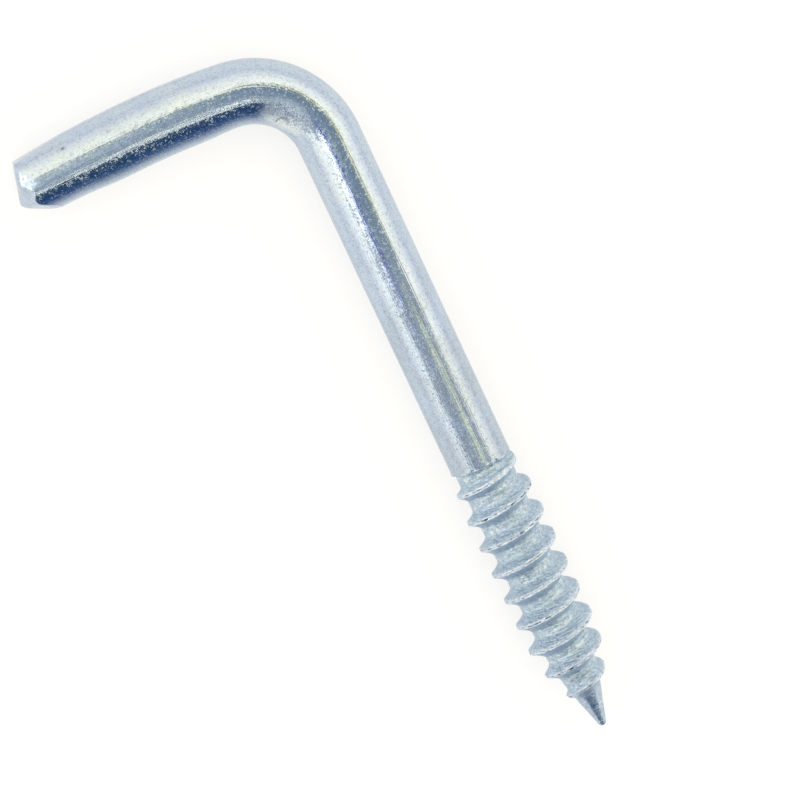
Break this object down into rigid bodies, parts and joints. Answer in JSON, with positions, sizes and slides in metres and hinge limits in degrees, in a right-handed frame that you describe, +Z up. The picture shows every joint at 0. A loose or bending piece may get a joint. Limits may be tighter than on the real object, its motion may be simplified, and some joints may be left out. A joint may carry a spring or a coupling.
{
  "type": "l-shaped screw hook",
  "caption": "L-shaped screw hook bent from plated steel wire, with a pointed coarse wood-screw thread, for hanging things from a wall, shelf edge or beam.",
  "frame": {"origin": "on the screw axis at the shoulder where the thread's core meets the full wire", "axes": "Y along the screw axis with the point at -Y, the arm reaches to -X, and +Z is up with the hook lying flat"},
  "size_m": [0.0303, 0.071, 0.007],
  "materials": {
    "zinc_plated_wire": "bright blue-passivated zinc plate over drawn steel wire, dull on the rolled thread"
  },
  "bodies": {
    "root": {"screw_hook": "zinc_plated_wire"}
  },
  "joints": []
}
